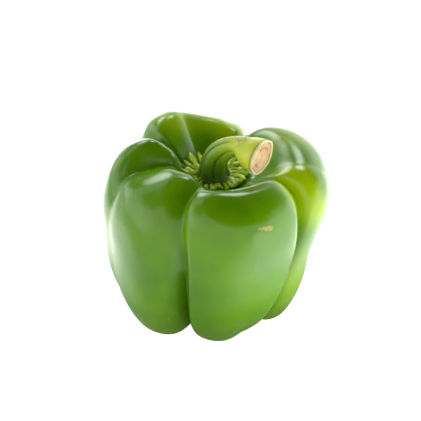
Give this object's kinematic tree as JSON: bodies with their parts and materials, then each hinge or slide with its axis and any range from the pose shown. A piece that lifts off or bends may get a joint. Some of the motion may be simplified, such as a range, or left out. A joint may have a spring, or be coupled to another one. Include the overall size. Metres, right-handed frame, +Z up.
{
  "type": "bell pepper",
  "caption": "Whole green bell pepper with deep, rounded lobes, a ribbed calyx and a hooked, cut stem, standing on the feet of its lobes.",
  "frame": {"origin": "middle of the whole pepper's bounding box, on the surface it stands on", "axes": "+Z up, along the fruit's axis towards the stem; -Y towards the front lobe; +X towards the side the stem's cut points to"},
  "size_m": [0.0918, 0.0886, 0.0875],
  "materials": {
    "fruit_skin": "waxy gloss",
    "calyx_green": "soft, ribbed",
    "stem_green": "soft, ridged"
  },
  "bodies": {
    "root": {"fruit": "fruit_skin", "calyx": "calyx_green", "stem": "stem_green"}
  },
  "joints": []
}
